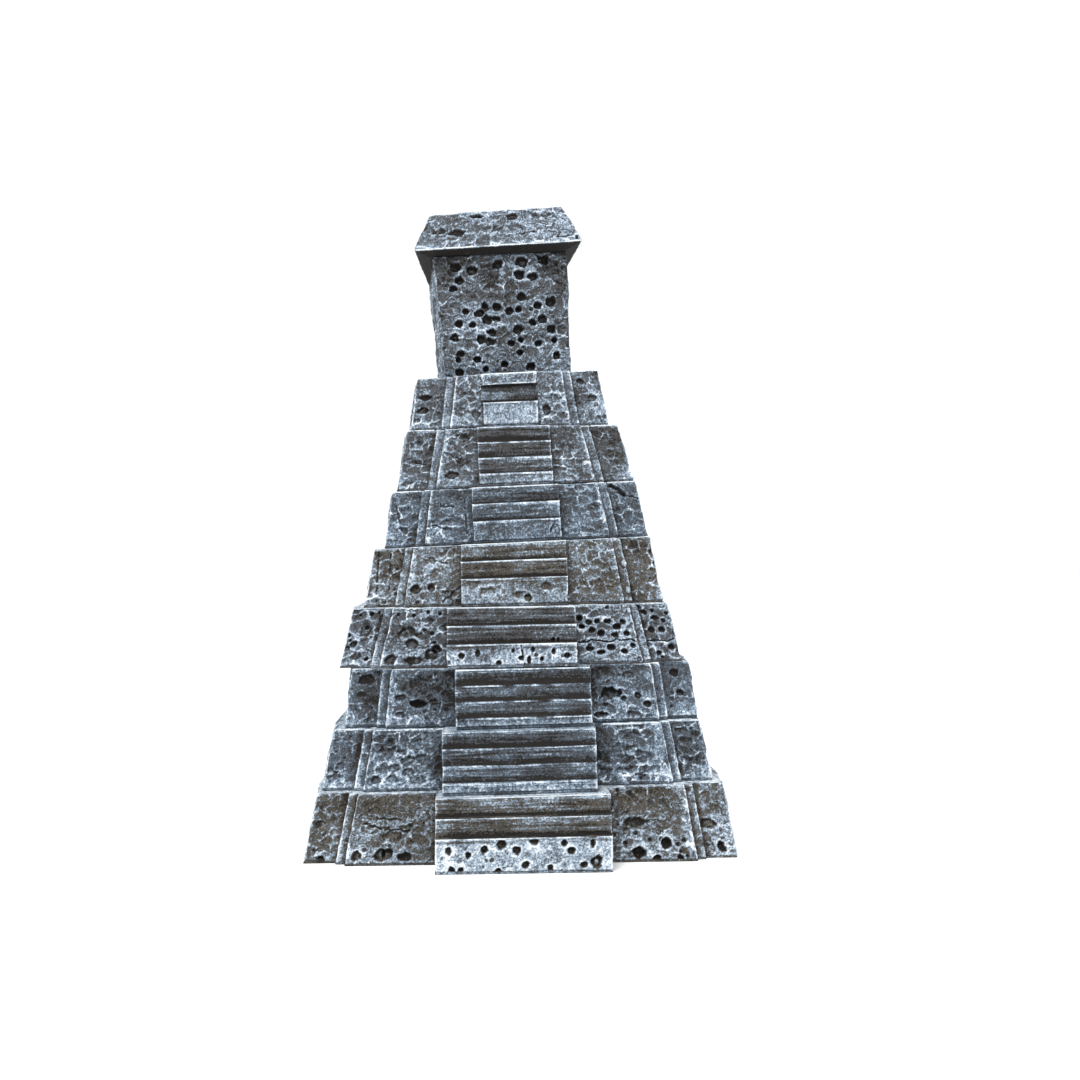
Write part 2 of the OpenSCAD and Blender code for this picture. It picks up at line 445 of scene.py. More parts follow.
def stand(cast):
    """Sets the casting on the one below: turned, shifted, with its tilted top and its own tilt."""
    i = cast.place
    x, y, z = cast.points
    turn = math.radians(TURN[i])
    x, y = math.cos(turn) * x - math.sin(turn) * y + SHIFT[i], math.sin(turn) * x + math.cos(turn) * y
    gap = 0 if i == ROOF else JOINT_GAP
    z = z * (1 + (x * math.tan(math.radians(WEDGE[i])) - gap) / cast.tall)
    seat_x = seat_z = tilt = 0.0
    for below in range(i):
        seat_x -= height(below) * math.sin(tilt)
        seat_z += height(below) * math.cos(tilt)
        tilt += math.radians(WEDGE[below])
    cast.points = np.stack([
        seat_x + math.cos(tilt) * x - math.sin(tilt) * z, y,
        seat_z + math.sin(tilt) * x + math.cos(tilt) * z])


def make_mesh(cast, brush_light_and_shade, stair):
    """Turns the grid into a Blender mesh with the values that the paint is laid by."""
    rows, columns = cast.points.shape[1:]
    number = np.arange(rows * columns).reshape(rows, columns)
    right = np.roll(number, -1, axis=1)
    quads = np.stack([number[:-1], right[:-1], right[1:], number[1:]], axis=-1).reshape(-1, 4)
    caps = [number[0, ::-1], number[-1]]
    loops = np.concatenate([quads.ravel()] + caps)
    sizes = np.concatenate([np.full(len(quads), 4), [columns, columns]])
    mesh = bpy.data.meshes.new(NAMES[cast.place] + "_mesh")
    mesh.vertices.add(rows * columns)
    mesh.vertices.foreach_set("co", (cast.points * MM).reshape(3, -1).T.ravel().astype(np.float32))
    mesh.loops.add(len(loops))
    mesh.loops.foreach_set("vertex_index", loops.astype(np.int32))
    mesh.polygons.add(len(sizes))
    starts = np.concatenate([[0], np.cumsum(sizes)[:-1]])
    mesh.polygons.foreach_set("loop_start", starts.astype(np.int32))
    mesh.update(calc_edges=True)
    mesh.validate()
    mesh.shade_smooth()
    values = {
        "fine": lift(cast, 2), "broad": lift(cast, 14), "up": cast.up, "brush_light_and_shade": brush_light_and_shade, "stair": stair,
    }
    for name, value in values.items():
        layer = mesh.attributes.new(name, "FLOAT", "POINT")
        layer.data.foreach_set("value", value.ravel().astype(np.float32))
    return mesh


# ---------------------------------------------------------------- paint
class Nodes:
    """A little helper that adds and joins shader nodes."""

    def __init__(self, material):
        material.use_nodes = True
        self.tree = material.node_tree
        self.shader = self.tree.nodes["Principled BSDF"]

    def put(self, socket, value):
        if isinstance(value, bpy.types.NodeSocket):
            self.tree.links.new(value, socket)
        else:
            socket.default_value = value

    def math(self, operation, a, b=0.0, c=0.0):
        node = self.tree.nodes.new("ShaderNodeMath")
        node.operation = operation
        for k, value in enumerate((a, b, c)):
            self.put(node.inputs[k], value)
        return node.outputs[0]

    def add(self, *terms):
        total = terms[0]
        for term in terms[1:]:
            total = self.math("ADD", total, term)
        return total

    def scaled(self, value, factor, offset=0.0):
        return self.math("MULTIPLY_ADD", value, factor, offset)

    def limited(self, value, low, high):
        return self.math("MINIMUM", self.math("MAXIMUM", value, low), high)

    def between(self, value, low, high, to_low=0.0, to_high=1.0):
        node = self.tree.nodes.new("ShaderNodeMapRange")
        node.interpolation_type = "SMOOTHSTEP"
        for name, v in (("Value", value), ("From Min", low), ("From Max", high),
                        ("To Min", to_low), ("To Max", to_high)):
            self.put(node.inputs[name], v)
        return node.outputs["Result"]

    def noise(self, vector, per_mm, detail=2.0, roughness=0.5):
        node = self.tree.nodes.new("ShaderNodeTexNoise")
        self.put(node.inputs["Vector"], vector)
        node.inputs["Scale"].default_value = per_mm / MM
        node.inputs["Detail"].default_value = detail
        node.inputs["Roughness"].default_value = roughness
        return node.outputs["Fac"]

    def value(self, name):
        node = self.tree.nodes.new("ShaderNodeAttribute")
        node.attribute_name = name
        return node.outputs["Fac"]

    def mix(self, factor, a, b):
        node = self.tree.nodes.new("ShaderNodeMix")
        node.data_type = "RGBA"
        self.put(node.inputs[0], factor)
        self.put(node.inputs[6], a)
        self.put(node.inputs[7], b)
        return node.outputs[2]


def rgb(hex_code):
    """Linear colour from the usual six-digit form."""
    parts = [int(hex_code[k:k + 2], 16) / 255 for k in (0, 2, 4)]
    return [p / 12.92 if p <= 0.04045 else ((p + 0.055) / 1.055) ** 2.4 for p in parts] + [1.0]


def cast_stone(name, ground, wash, mid, pale):
    """Painted casting plaster: a dark ground, and lighter paint dragged over whatever stands up. Below
    the ground it runs to near-black: painted shade, and some dark specks at random.
    """
    material = bpy.data.materials.new(name)
    n = Nodes(material)
    where = n.tree.nodes.new("ShaderNodeTexCoord").outputs["Object"]
    speck = n.noise(where, 2.4, 2.0, 0.7)
    mottle = n.noise(where, 0.9, 3.0, 0.6)
    cloud = n.noise(where, 0.2, 3.0, 0.5)
    fine, broad, brush_light_and_shade, stair = (n.value(v) for v in ("fine", "broad", "brush_light_and_shade", "stair"))
    # Level lines on the risers, from a texture stretched along the wall.
    apart = n.tree.nodes.new("ShaderNodeSeparateXYZ")
    n.put(apart.inputs[0], where)
    joined = n.tree.nodes.new("ShaderNodeCombineXYZ")
    n.put(joined.inputs[0], n.scaled(apart.outputs[0], 0.05))
    n.put(joined.inputs[1], n.scaled(apart.outputs[1], 0.05))
    n.put(joined.inputs[2], n.scaled(n.value("up"), MM))
    lines = n.noise(joined.outputs[0], 2.2, 2.0, 0.6)

    # Raised places take the dry-brushed paint, and hollows are pushed below the ground colour as painted
    # shade.
    relief_brush_and_shade = n.add(
        n.limited(n.scaled(fine, 3.4), -0.5, 0.45), n.limited(n.scaled(broad, 1.9), -0.7, 0.3))
    line_paint = n.math("MULTIPLY", n.scaled(lines, 2.4, -1.2), stair)
    score = n.add(relief_brush_and_shade, brush_light_and_shade, n.scaled(speck, 2.6, -1.3), n.scaled(mottle, 1.4, -0.7),
                  n.scaled(cloud, 0.8, -0.4), line_paint)
    colour = n.mix(n.between(cloud, 0.35, 0.65), ground, wash)
    # Near-black below the ground: painted shade in hollows, coves, seams and under the eaves, and some
    # dark specks at random.
    colour = n.mix(n.between(score, -0.75, -0.35), rgb("141210"), colour)
    colour = n.mix(n.between(score, 0.0, 0.3), colour, mid)
    colour = n.mix(n.between(score, 0.4, 0.7), colour, pale)
    colour = n.mix(n.between(score, 0.85, 1.15), colour, rgb("c0c6ca"))
    n.put(n.shader.inputs["Base Color"], colour)
    n.put(n.shader.inputs["Roughness"], n.between(mottle, 0.3, 0.7, 0.78, 0.95))
    n.shader.inputs["Specular IOR Level"].default_value = 0.25
    bump = n.tree.nodes.new("ShaderNodeBump")
    bump.inputs["Strength"].default_value = 0.7
    bump.inputs["Distance"].default_value = 0.12 * MM
    n.put(bump.inputs["Height"], n.add(speck, n.math("MULTIPLY", n.scaled(lines, 2.0), stair)))
    n.put(n.shader.inputs["Normal"], bump.outputs["Normal"])
    return material


# Ground, wash over it, dragged paint and its palest ridges.
PAINT_COLOURS = {
    "warm_cast_stone": ("37342f", "433f39", "59636d", "8693a0"),
    "blue_cast_stone": ("33363a", "3a4047", "566370", "8492a0"),
    "grey_cast_stone": ("353536", "3d3f42", "58636e", "8592a0"),
}
PAINT = {name: cast_stone(name, *map(rgb, codes)) for name, codes in PAINT_COLOURS.items()}
SLOT_OF = {row["node"]: row["material_slot"] for row in frame["record"]["subparts"]}


def finish_piece(cast, brush_light_and_shade, stair):
    stand(cast)
    name = NAMES[cast.place]
    piece = bpy.data.objects.new(name + "_cast", make_mesh(cast, brush_light_and_shade, stair))
    bpy.context.scene.collection.objects.link(piece)
    piece.data.materials.append(PAINT[SLOT_OF[name]])
    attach(piece, name)
    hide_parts(name)


# ---------------------------------------------------------------- the tiers
# For each tier: depth and size of the scoops in its stone, height of its ledges and depth of its
# pits; how many times its edges are softened; how deeply its risers are lined; how pale its lowest
# riser (foot) and the feet of its walls (frost) are; how strongly its steps (pale nosings, and
# painted shade in the coves) and the web of ridges are painted, and how pale it is as a whole
# (tone). Then come the dents, cracks, knobs and patches of paint on its front. Their places are
# shares of a panel's width and of the tier's height.
TIER_LOOK = [
    dict(
        scoop=0.35, size=3.0, ledge=0.25, pit=0.5, soften=3, lines=0.16, foot=0.42,
        frost=0.1, steps=1.0, web=0.4, tone=0.07, seed=101,
        dents=[
            (CORNER_L, 0.55, 0.04, 1.1, 0.9, 0.9), (CORNER_L, 0.3, 0.55, 1.2, 0.8, 0.3),
            (PANEL_L, 0.12, 0.14, 1.1, 1.0, 0.7), (PANEL_L, 0.38, 0.14, 1.2, 1.3, 1.0),
            (PANEL_L, 0.47, 0.15, 1.1, 1.2, 1.0), (PANEL_L, 0.67, 0.12, 1.6, 0.9, 0.9),
            (PANEL_L, 0.5, 0.4, 2.6, 1.2, 0.5), (PANEL_L, 0.25, 0.5, 2.0, 0.9, 0.4),
            (PANEL_R, 0.32, 0.53, 2.3, 1.0, 0.7), (PANEL_R, 0.34, 0.12, 1.5, 1.3, 1.8),
            (PANEL_R, 0.67, 0.24, 1.1, 1.1, 1.5), (PANEL_R, 0.54, 0.05, 0.8, 0.6, 0.9),
            (PANEL_R, 0.82, 0.05, 0.6, 0.6, 0.8), (CORNER_R, 0.25, 0.45, 1.8, 1.1, 0.8),
            (CORNER_R, 0.55, 0.14, 1.0, 1.0, 1.3), (STAIR, 0.08, 0.26, 0.7, 0.7, 1.0),
            (STAIR, 0.19, 0.22, 0.6, 0.6, 0.9), (STAIR, 0.28, 0.27, 0.7, 0.7, 1.0),
            (STAIR, 0.38, 0.33, 1.1, 0.8, 1.0), (STAIR, 0.46, 0.26, 0.9, 0.7, 1.0),
            (STAIR, 0.56, 0.35, 0.9, 0.6, 0.9), (STAIR, 0.66, 0.4, 1.1, 0.6, 0.9),
            (STAIR, 0.73, 0.33, 0.6, 0.6, 0.9), (STAIR, 0.77, 0.25, 0.9, 0.6, 1.0),
            (STAIR, 0.89, 0.43, 0.9, 0.5, 0.9), (STAIR, 0.89, 0.32, 0.5, 0.7, 0.9),
            (STAIR, 0.51, 0.1, 0.8, 0.7, 1.1), (STAIR, 0.65, 0.06, 0.6, 0.6, 0.8),
            (STAIR, 0.84, 0.09, 0.9, 0.5, 0.8), (STAIR, 0.1, 0.05, 0.6, 0.6, 0.9),
            (STAIR, 0.15, 0.05, 0.6, 0.5, 0.9), (STAIR, 0.36, 0.03, 0.8, 0.5, 0.8),
            (STAIR, 0.91, 0.12, 1.1, 1.1, 0.9),
        ],
        cuts=[
            (PANEL_L, 0.15, 0.58, 0.7, 0.45, 0.35, 0.5), (PANEL_L, 0.3, 0.66, 0.6, 0.62, 0.3, 0.35),
        ],
        knobs=[
            (STAIR, 0.91, 0.12, 0.6, 0.6, 0.7),
        ],
        dabs=[
            (CORNER_L, 0.95, 0.4, 0.8, 4.0, 0.3), (PANEL_L, 0.1, 0.12, 2.5, 2.0, 0.4),
            (PANEL_L, 0.4, 0.1, 4.0, 1.5, 0.2), (PANEL_L, 0.5, 0.85, 6.0, 2.5, -0.15),
            (PANEL_R, 0.45, 0.28, 5.0, 3.0, 0.35), (PANEL_R, 0.95, 0.5, 1.0, 7.0, 0.5),
            (PANEL_R, 0.35, 0.82, 6.0, 3.0, -0.2), (CORNER_R, 0.5, 0.38, 3.0, 2.5, 0.3),
            (CORNER_R, 0.6, 0.08, 3.0, 1.5, 0.3), (STAIR, 0.04, 0.25, 2.5, 4.0, 0.35),
            (STAIR, 0.95, 0.3, 2.0, 4.0, 0.15),
        ],
    ),
    dict(
        scoop=0.55, size=2.8, ledge=0.15, pit=0.2, soften=8, lines=0.13, foot=0.1,
        frost=0.45, steps=1.2, web=0.8, tone=-0.02, seed=202,
        dents=[
            (PANEL_L, 0.28, 0.7, 2.2, 1.7, 0.6), (PANEL_L, 0.62, 0.75, 2.6, 1.2, 0.4),
            (PANEL_L, 0.45, 0.6, 1.3, 1.0, 0.5), (PANEL_L, 0.55, 0.48, 1.4, 1.1, 0.6),
            (PANEL_L, 0.74, 0.5, 1.5, 1.1, 0.5), (PANEL_L, 0.38, 0.38, 1.3, 1.0, 0.5),
            (PANEL_L, 0.57, 0.3, 1.4, 1.0, 0.6), (PANEL_L, 0.36, 0.2, 1.2, 1.0, 0.6),
            (PANEL_L, 0.16, 0.2, 1.1, 0.9, 0.6), (PANEL_L, 0.7, 0.18, 1.6, 0.9, 0.5),
            (CORNER_L, 0.4, 0.22, 1.5, 1.2, 0.6), (CORNER_L, 0.6, 0.7, 1.6, 1.0, 0.3),
            (PANEL_R, 0.55, 0.8, 2.4, 0.8, 0.4), (PANEL_R, 0.35, 0.6, 2.2, 1.0, 0.5),
            (PANEL_R, 0.38, 0.42, 1.8, 1.0, 0.5), (PANEL_R, 0.65, 0.45, 2.0, 1.4, 0.5),
            (PANEL_R, 0.35, 0.22, 1.6, 0.9, 0.5), (PANEL_R, 0.56, 0.12, 1.8, 0.8, 0.5),
            (CORNER_R, 0.4, 0.65, 1.4, 0.9, 0.3), (CORNER_R, 0.5, 0.3, 1.3, 1.0, 0.3),
            (STAIR, 0.45, 0.52, 3.2, 1.2, 0.3),
        ],
        cuts=[],
        knobs=[],
        dabs=[
            (CORNER_L, 0.3, 0.15, 2.5, 2.0, 0.2), (STRIP_L, 0.5, 0.5, 1.5, 6.0, 0.25),
            (PANEL_L, 0.4, 0.5, 5.0, 6.0, 0.12), (PANEL_L, 0.95, 0.6, 1.2, 5.0, -0.25),
            (PANEL_R, 0.12, 0.6, 2.5, 5.0, -0.35), (PANEL_R, 0.92, 0.5, 1.2, 6.0, 0.3),
            (PANEL_R, 0.6, 0.15, 5.0, 1.5, 0.2), (STAIR, 0.45, 0.55, 2.6, 1.0, 0.3),
            (CORNER_R, 0.5, 0.5, 3.0, 5.0, -0.1), (STAIR, 0.5, 0.85, 14.0, 3.0, -0.15),
        ],
    ),
    dict(
        scoop=0.4, size=3.6, ledge=0.12, pit=0.3, soften=16, lines=0.08, foot=0.1,
        frost=0.42, steps=2.0, web=0.55, tone=-0.06, seed=303,
        dents=[
            (PANEL_L, 0.55, 0.7, 4.6, 1.8, 0.6), (PANEL_L, 0.47, 0.4, 2.0, 0.9, 1.5),
            (PANEL_L, 0.2, 0.5, 1.3, 0.7, 0.6), (PANEL_L, 0.7, 0.42, 0.9, 0.7, 0.4),
            (PANEL_L, 0.22, 0.22, 1.0, 0.6, 0.5), (CORNER_L, 0.6, 0.8, 2.0, 1.0, 0.7),
            (CORNER_L, 0.45, 0.55, 1.0, 0.7, 0.5), (PANEL_R, 0.32, 0.5, 2.1, 1.3, 1.5),
            (PANEL_R, 0.72, 0.45, 0.8, 0.7, 0.7), (PANEL_R, 0.5, 0.4, 0.7, 0.6, 0.7),
            (PANEL_R, 0.85, 0.3, 1.0, 0.7, 0.7), (PANEL_R, 0.15, 0.14, 1.6, 0.6, 0.7),
            (PANEL_R, 0.62, 0.14, 1.3, 0.6, 0.4), (PANEL_R, 0.6, 0.8, 1.4, 0.8, 0.5),
            (CORNER_R, 0.4, 0.8, 1.0, 0.8, 0.7), (CORNER_R, 0.5, 0.45, 0.8, 0.7, 0.7),
            (STAIR, 0.04, 0.12, 1.4, 1.0, 0.5),
        ],
        cuts=[],
        knobs=[],
        dabs=[
            (CORNER_L, 0.3, 0.3, 2.2, 4.0, 0.2), (CORNER_L, 0.7, 0.6, 2.0, 3.0, -0.3),
            (PANEL_L, 0.05, 0.5, 1.0, 6.0, 0.4), (PANEL_L, 0.55, 0.55, 5.0, 2.5, -0.35),
            (PANEL_L, 0.9, 0.75, 2.0, 3.0, -0.3), (PANEL_L, 0.3, 0.1, 4.0, 1.3, 0.25),
            (PANEL_R, 0.15, 0.75, 3.0, 3.0, -0.4), (PANEL_R, 0.6, 0.4, 4.0, 3.0, 0.2),
            (PANEL_R, 0.95, 0.5, 1.2, 6.0, 0.3), (CORNER_R, 0.5, 0.4, 2.0, 3.0, 0.25),
            (CORNER_R, 0.45, 0.85, 2.0, 1.5, -0.3), (STAIR, 0.5, 0.88, 14.0, 2.2, -0.4),
        ],
    ),
    dict(
        scoop=0.6, size=3.4, ledge=0.25, pit=0.7, soften=3, lines=0.14, foot=0.15,
        frost=0.15, steps=1.0, web=0.8, tone=0.04, seed=404,
        dents=[
            (PANEL_L, 0.35, 0.6, 2.0, 1.3, 0.7), (PANEL_L, 0.68, 0.76, 1.9, 1.1, 0.5),
            (PANEL_L, 0.64, 0.55, 1.6, 1.2, 0.6), (PANEL_L, 0.2, 0.45, 1.4, 1.0, 0.5),
            (PANEL_L, 0.45, 0.4, 1.5, 1.1, 0.7), (PANEL_L, 0.15, 0.15, 1.3, 1.1, 0.7),
            (PANEL_L, 0.85, 0.3, 1.0, 0.8, 1.1), (PANEL_L, 0.78, 0.22, 1.4, 1.2, 0.8),
            (PANEL_L, 0.52, 0.12, 1.8, 1.0, 0.7), (CORNER_L, 0.6, 0.6, 1.3, 2.2, 0.5),
            (CORNER_L, 0.3, 0.4, 0.8, 0.8, 0.7), (CORNER_L, 0.5, 0.2, 1.2, 0.9, 0.6),
            (PANEL_R, 0.06, 0.78, 0.8, 0.7, 1.2), (PANEL_R, 0.23, 0.72, 0.8, 0.6, 1.0),
            (PANEL_R, 0.38, 0.72, 0.7, 0.6, 1.0), (PANEL_R, 0.56, 0.72, 0.8, 0.6, 1.0),
            (PANEL_R, 0.1, 0.63, 0.7, 0.6, 1.2), (PANEL_R, 0.27, 0.57, 0.9, 0.7, 1.1),
            (PANEL_R, 0.42, 0.52, 0.9, 0.7, 1.2), (PANEL_R, 0.7, 0.62, 1.0, 0.8, 1.2),
            (PANEL_R, 0.66, 0.48, 0.9, 0.7, 1.0), (PANEL_R, 0.83, 0.7, 0.7, 0.6, 0.9),
            (PANEL_R, 0.2, 0.26, 0.8, 0.6, 1.1), (PANEL_R, 0.38, 0.2, 0.9, 0.5, 1.1),
            (PANEL_R, 0.56, 0.28, 0.9, 0.7, 1.2), (PANEL_R, 0.75, 0.2, 0.8, 0.6, 0.9),
            (PANEL_R, 0.9, 0.3, 0.6, 0.6, 0.9), (PANEL_R, 0.85, 0.5, 0.7, 0.6, 0.9),
            (CORNER_R, 0.25, 0.55, 0.8, 0.7, 1.0), (CORNER_R, 0.6, 0.55, 0.8, 0.7, 1.0),
            (CORNER_R, 0.45, 0.75, 0.9, 0.6, 0.9), (CORNER_R, 0.75, 0.25, 0.7, 0.6, 0.8),
            (CORNER_R, 0.3, 0.15, 0.7, 0.5, 0.9), (CORNER_R, 0.15, 0.85, 0.7, 0.6, 0.8),
            (STAIR, 0.51, 0.22, 0.4, 0.4, 0.7), (STAIR, 0.66, 0.23, 0.4, 0.4, 0.7),
            (STAIR, 0.57, 0.12, 0.5, 0.4, 0.8), (STAIR, 0.63, 0.1, 0.5, 0.7, 0.8),
            (STAIR, 0.73, 0.1, 0.4, 0.4, 0.8), (STAIR, 0.82, 0.2, 0.5, 0.5, 0.9),
            (STAIR, 0.92, 0.14, 0.6, 0.5, 0.9), (STAIR, 0.12, 0.16, 0.7, 0.5, 0.7),
            (STAIR, 0.24, 0.2, 0.5, 0.6, 0.7), (STAIR, 0.4, 0.06, 0.6, 0.4, 0.7),
            (STAIR, 0.82, 0.45, 0.4, 0.3, 0.7), (STAIR, 0.86, 0.45, 0.3, 0.3, 0.7),
        ],
        cuts=[
            (PANEL_R, 0.0, 0.4, 1.0, 0.38, 0.3, 0.9), (CORNER_R, 0.0, 0.36, 1.0, 0.38, 0.3, 0.7),
            (STAIR, 0.57, 0.3, 0.6, 0.0, 0.2, 0.6),
        ],
        knobs=[],
        dabs=[
            (CORNER_L, 0.6, 0.5, 2.5, 5.0, 0.1), (PANEL_L, 0.5, 0.5, 5.0, 5.0, 0.15),
            (PANEL_R, 0.5, 0.5, 6.0, 6.0, 0.12), (CORNER_R, 0.5, 0.5, 3.0, 6.0, 0.1),
            (STAIR, 0.05, 0.12, 2.0, 2.0, 0.25), (STAIR, 0.5, 0.15, 4.0, 1.5, 0.15),
            (STAIR, 0.85, 0.12, 4.0, 2.0, 0.15), (STAIR, 0.5, 0.75, 14.0, 4.0, -0.12),
            (STRIP_R, 0.5, 0.5, 1.2, 6.0, 0.15),
        ],
    ),
    dict(
        scoop=0.45, size=2.7, ledge=0.15, pit=0.25, soften=3, lines=0.15, foot=0.15,
        frost=0.1, steps=1.0, web=0.6, tone=0.05, seed=505,
        dents=[
            (PANEL_L, 0.4, 0.75, 1.5, 1.0, 0.5), (PANEL_L, 0.5, 0.55, 1.3, 1.0, 0.4),
            (PANEL_L, 0.18, 0.3, 1.1, 1.0, 0.8), (PANEL_L, 0.48, 0.32, 0.9, 1.1, 0.8),
            (PANEL_L, 0.8, 0.2, 1.5, 1.0, 0.4), (STAIR, 0.25, 0.2, 1.8, 0.8, 0.5),
            (STAIR, 0.55, 0.14, 2.2, 0.7, 0.5), (STAIR, 0.8, 0.24, 1.6, 0.8, 0.5),
            (STAIR, 0.12, 0.3, 1.4, 1.0, 0.5), (STAIR, 0.63, 0.1, 0.8, 0.7, 0.7),
        ],
        cuts=[
            (PANEL_L, 0.3, 0.85, 0.75, 0.7, 0.3, 0.4), (CORNER_L, 0.2, 0.9, 0.4, 0.1, 0.3, 0.35),
            (CORNER_L, 0.6, 0.9, 0.75, 0.3, 0.3, 0.35), (PANEL_L, 0.7, 0.1, 1.0, 0.3, 0.3, 0.4),
        ],
        knobs=[
            (STRIP_R, 0.8, 0.6, 0.85, 0.85, 0.8), (STRIP_R, 0.7, 0.2, 0.7, 0.9, 0.6),
            (CORNER_R, 0.97, 0.12, 1.6, 2.2, 0.8),
        ],
        dabs=[
            (CORNER_L, 0.3, 0.15, 2.2, 2.5, 0.3), (CORNER_L, 0.5, 0.75, 3.0, 3.0, -0.1),
            (PANEL_L, 0.06, 0.5, 1.0, 6.0, 0.3), (PANEL_L, 0.4, 0.5, 2.5, 3.0, 0.2),
            (PANEL_L, 0.92, 0.5, 1.8, 6.0, -0.15), (STAIR, 0.5, 0.15, 12.0, 2.2, 0.12),
            (PANEL_R, 0.5, 0.1, 5.0, 1.5, -0.15), (PANEL_R, 0.6, 0.6, 4.0, 4.0, 0.12),
            (PANEL_R, 0.97, 0.6, 0.8, 5.0, 0.3), (CORNER_R, 0.5, 0.6, 3.0, 5.0, -0.08),
        ],
    ),
    dict(
        scoop=0.4, size=2.7, ledge=0.15, pit=0.2, soften=6, lines=0.13, foot=0.0,
        frost=0.1, steps=1.1, web=0.7, tone=0.02, seed=606,
        dents=[
            (PANEL_L, 0.5, 0.4, 1.6, 0.9, 0.4), (CORNER_L, 0.6, 0.65, 1.4, 0.9, 0.4),
            (CORNER_L, 0.5, 0.3, 1.6, 0.8, 0.4), (PANEL_R, 0.75, 0.55, 1.4, 1.0, 0.3),
        ],
        cuts=[
            (PANEL_L, 0.3, 0.72, 0.6, 0.66, 0.3, 0.5), (PANEL_L, 0.15, 0.38, 0.55, 0.3, 0.3, 0.5),
            (STAIR, 0.88, 0.15, 1.0, 0.36, 0.3, 0.6), (CORNER_R, 0.12, 0.92, 0.5, 0.78, 0.7, 1.0),
            (CORNER_R, 0.5, 0.76, 0.95, 0.68, 0.3, 0.5), (CORNER_L, 0.2, 0.8, 0.6, 0.2, 0.3, 0.35),
            (PANEL_L, 0.85, 0.8, 0.9, 0.2, 0.3, 0.3),
        ],
        knobs=[],
        dabs=[
            (CORNER_L, 0.3, 0.25, 2.2, 3.5, 0.25), (PANEL_L, 0.2, 0.2, 1.8, 2.5, 0.35),
            (PANEL_L, 0.4, 0.95, 3.0, 1.2, -0.35), (CORNER_L, 0.8, 0.95, 2.0, 1.0, -0.35),
            (STAIR, 0.06, 0.2, 1.5, 2.0, 0.3), (STAIR, 0.93, 0.6, 1.5, 3.0, 0.25),
            (PANEL_R, 0.6, 0.5, 4.0, 4.0, 0.1), (PANEL_R, 0.95, 0.5, 0.8, 5.0, 0.3),
            (CORNER_R, 0.4, 0.85, 2.5, 1.0, -0.25), (PANEL_L, 0.05, 0.5, 0.8, 6.0, 0.3),
        ],
    ),
    dict(
        scoop=0.45, size=2.8, ledge=0.15, pit=0.2, soften=6, lines=0.13, foot=0.12,
        frost=0.2, steps=1.2, web=0.75, tone=0.02, seed=707,
        dents=[
            (CORNER_L, 0.55, 0.72, 1.8, 1.5, 0.6), (CORNER_L, 0.5, 0.48, 1.3, 0.5, 0.5),
            (PANEL_L, 0.6, 0.85, 2.2, 1.0, 0.6), (PANEL_L, 0.3, 0.7, 1.3, 1.1, 0.5),
            (PANEL_L, 0.6, 0.42, 1.5, 0.9, 0.5), (PANEL_L, 0.35, 0.22, 1.3, 1.0, 0.7),
            (PANEL_R, 0.4, 0.6, 1.6, 1.2, 0.3), (CORNER_R, 0.5, 0.5, 1.5, 1.0, 0.3),
            (CORNER_L, 0.35, 0.12, 1.2, 0.9, 0.5),
        ],
        cuts=[
            (CORNER_L, 0.2, 0.52, 0.9, 0.42, 0.25, 0.4), (PANEL_L, 0.1, 0.6, 0.6, 0.5, 0.25, 0.4),
        ],
        knobs=[
            (STRIP_R, 0.5, 0.28, 1.2, 1.9, 0.5), (CORNER_R, 0.97, 0.12, 1.5, 2.4, 0.8),
        ],
        dabs=[
            (CORNER_L, 0.6, 0.75, 1.8, 1.8, 0.2), (CORNER_L, 0.3, 0.15, 2.5, 2.0, 0.2),
            (PANEL_L, 0.3, 0.8, 2.5, 2.5, 0.2), (PANEL_L, 0.05, 0.5, 0.8, 6.0, 0.3),
            (PANEL_R, 0.3, 0.85, 4.0, 1.8, -0.2), (PANEL_R, 0.6, 0.3, 4.0, 3.0, 0.15),
            (PANEL_R, 0.97, 0.5, 0.7, 6.0, 0.3), (CORNER_R, 0.9, 0.2, 1.8, 2.5, 0.3),
            (CORNER_R, 0.3, 0.7, 2.5, 3.0, -0.12), (STAIR, 0.5, 0.85, 12.0, 2.0, -0.12),
        ],
    ),
    dict(
        scoop=0.4, size=2.7, ledge=0.15, pit=0.3, soften=4, lines=0.12, foot=0.2,
        frost=0.15, steps=1.5, web=0.6, tone=0.16, seed=808,
        dents=[
            (CORNER_L, 0.4, 0.62, 1.5, 0.8, 0.7), (CORNER_L, 0.35, 0.38, 1.3, 0.8, 0.7),
            (CORNER_L, 0.2, 0.2, 0.9, 0.7, 0.5), (PANEL_L, 0.25, 0.68, 1.3, 1.6, 0.5),
            (PANEL_L, 0.35, 0.32, 1.8, 1.3, 0.6), (PANEL_R, 0.6, 0.5, 1.3, 1.0, 0.4),
            (CORNER_R, 0.3, 0.8, 1.0, 0.7, 0.7), (CORNER_R, 0.6, 0.5, 1.2, 0.8, 0.7),
            (PANEL_L, 0.8, 0.25, 1.0, 1.2, 0.5), (PANEL_R, 0.3, 0.3, 0.9, 1.2, 0.7),
        ],
        cuts=[],
        knobs=[],
        dabs=[
            (CORNER_L, 0.3, 0.12, 2.5, 1.5, 0.25), (CORNER_L, 0.7, 0.6, 2.0, 5.0, -0.2),
            (PANEL_L, 0.03, 0.5, 0.6, 7.0, 0.45), (PANEL_R, 0.5, 0.45, 3.0, 4.0, 0.3),
            (PANEL_R, 0.97, 0.5, 0.5, 7.0, 0.4), (CORNER_R, 0.75, 0.45, 1.8, 4.0, 0.35),
            (CORNER_R, 0.2, 0.5, 1.5, 4.0, -0.15), (STRIP_R, 0.5, 0.5, 0.8, 6.0, -0.15),
            (STAIR, 0.5, 0.2, 6.0, 2.5, 0.2),
        ],
    ),
]


